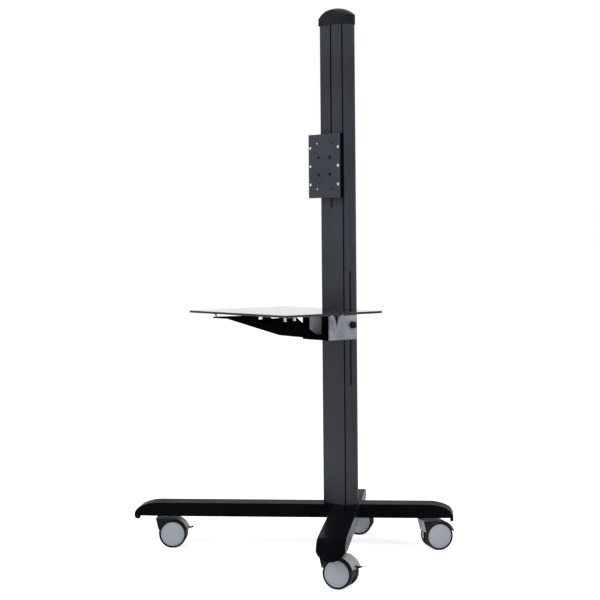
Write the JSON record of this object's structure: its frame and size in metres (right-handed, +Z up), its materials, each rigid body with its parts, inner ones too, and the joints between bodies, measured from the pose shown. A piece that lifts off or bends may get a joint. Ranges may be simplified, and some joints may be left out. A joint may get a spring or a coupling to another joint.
{
  "type": "mobile tv stand",
  "caption": "Tall extruded column on a low X shaped caster base, with a sliding plate for a flat screen and a sliding glass shelf on a folded tray and clamp.",
  "frame": {"origin": "on the floor, under the middle of the bounding box; the column's axis stands 112 mm behind it", "axes": "+Z up, -Y the front that faces the viewer of the screen, +X the stand's right as seen from the front"},
  "size_m": [1.1525, 0.876, 1.945],
  "materials": {
    "graphite_aluminium": "satin anodised",
    "dark_plastic": "matte",
    "cap_plastic": "matte",
    "black_steel": "satin powder coat",
    "bare_steel": "satin",
    "zinc_steel": "zinc plated",
    "slate_steel": "satin powder coat",
    "bright_zinc": "bright zinc",
    "black_screws": "black oxide",
    "clear_glass": "clear, polished edges",
    "clear_plastic": "glossy",
    "silver_aluminium": "fine textured",
    "black_plastic": "matte",
    "grey_plastic": "satin",
    "disc_plastic": "satin",
    "tread_rubber": "matte"
  },
  "bodies": {
    "frame": {"column_extrusion": "graphite_aluminium", "column_cap": "cap_plastic", "rear_cable_cover": "dark_plastic", "column_bolts": "zinc_steel", "base_crossbar": "black_steel", "base_front_leg": "black_steel", "base_back_leg": "black_steel", "hub_plate": "bare_steel", "leg_bolts": "zinc_steel", "caster_stems": "zinc_steel"},
    "front_left_caster": {"front_left_hood": "grey_plastic", "front_left_axle": "zinc_steel"},
    "front_left_wheel_pair": {"front_left_wheels": "disc_plastic", "front_left_tyres": "tread_rubber"},
    "front_left_lever": {"front_left_brake_lever": "black_plastic"},
    "front_right_caster": {"front_right_hood": "grey_plastic", "front_right_axle": "zinc_steel"},
    "front_right_wheel_pair": {"front_right_wheels": "disc_plastic", "front_right_tyres": "tread_rubber"},
    "front_right_lever": {"front_right_brake_lever": "black_plastic"},
    "back_left_caster": {"back_left_hood": "grey_plastic", "back_left_axle": "zinc_steel"},
    "back_left_wheel_pair": {"back_left_wheels": "disc_plastic", "back_left_tyres": "tread_rubber"},
    "back_right_caster": {"back_right_hood": "grey_plastic", "back_right_axle": "zinc_steel"},
    "back_right_wheel_pair": {"back_right_wheels": "disc_plastic", "back_right_tyres": "tread_rubber"},
    "screen_carriage": {"screen_plate": "slate_steel", "plate_inserts": "bright_zinc", "plate_bracket": "black_steel", "plate_screws": "black_screws", "slot_bolts": "zinc_steel", "slot_nut_bar": "zinc_steel"},
    "shelf_carriage": {"shelf_glass": "clear_glass", "shelf_tray": "black_steel", "glass_rests": "clear_plastic", "glass_posts": "bright_zinc", "shelf_clamp": "silver_aluminium", "tray_bolts": "black_screws", "knob_nut_plates": "zinc_steel"},
    "left_knob": {"left_knob": "black_plastic"},
    "right_knob": {"right_knob": "black_plastic"}
  },
  "joints": [
    {"name": "front_left_swivel", "type": "hinge", "parent": "frame", "child": "front_left_caster", "pos_m": [-0.4674, -0.32916, 0.12], "axis": [0, 0, 1], "continuous": true},
    {"name": "front_left_roll", "type": "hinge", "parent": "front_left_caster", "child": "front_left_wheel_pair", "pos_m": [-0.45, -0.30984, 0.05], "axis": [-0.7431, 0.6691, 0], "continuous": true},
    {"name": "front_left_brake", "type": "hinge", "parent": "front_left_caster", "child": "front_left_lever", "pos_m": [-0.41414, -0.27001, 0.0682], "axis": [-0.7431, 0.6691, 0], "range_deg": [0, 14]},
    {"name": "front_right_swivel", "type": "hinge", "parent": "frame", "child": "front_right_caster", "pos_m": [0.4674, -0.32916, 0.12], "axis": [0, 0, 1], "continuous": true},
    {"name": "front_right_roll", "type": "hinge", "parent": "front_right_caster", "child": "front_right_wheel_pair", "pos_m": [0.49056, -0.31735, 0.05], "axis": [-0.454, 0.891, 0], "continuous": true},
    {"name": "front_right_brake", "type": "hinge", "parent": "front_right_caster", "child": "front_right_lever", "pos_m": [0.53832, -0.29302, 0.0682], "axis": [-0.454, 0.891, 0], "range_deg": [0, 14]},
    {"name": "back_left_swivel", "type": "hinge", "parent": "frame", "child": "back_left_caster", "pos_m": [-0.2093, 0.34754, 0.12], "axis": [0, 0, 1], "continuous": true},
    {"name": "back_left_roll", "type": "hinge", "parent": "back_left_caster", "child": "back_left_wheel_pair", "pos_m": [-0.18968, 0.3646, 0.05], "axis": [-0.6561, 0.7547, 0], "continuous": true},
    {"name": "back_right_swivel", "type": "hinge", "parent": "frame", "child": "back_right_caster", "pos_m": [0.2093, 0.34754, 0.12], "axis": [0, 0, 1], "continuous": true},
    {"name": "back_right_roll", "type": "hinge", "parent": "back_right_caster", "child": "back_right_wheel_pair", "pos_m": [0.22029, 0.37111, 0.05], "axis": [-0.9063, 0.4226, 0], "continuous": true},
    {"name": "screen_height", "type": "slide", "parent": "frame", "child": "screen_carriage", "axis": [0, 0, 1], "range_m": [-0.09, 0.43]},
    {"name": "shelf_height", "type": "slide", "parent": "frame", "child": "shelf_carriage", "axis": [0, 0, 1], "range_m": [-0.213, 0.188]},
    {"name": "left_knob_turn", "type": "hinge", "parent": "shelf_carriage", "child": "left_knob", "pos_m": [-0.078, 0.10624, 0.8095], "axis": [-1, 0, 0], "range_deg": [0, 360]},
    {"name": "right_knob_turn", "type": "hinge", "parent": "shelf_carriage", "child": "right_knob", "pos_m": [0.078, 0.10624, 0.8095], "axis": [1, 0, 0], "range_deg": [0, 360]}
  ]
}
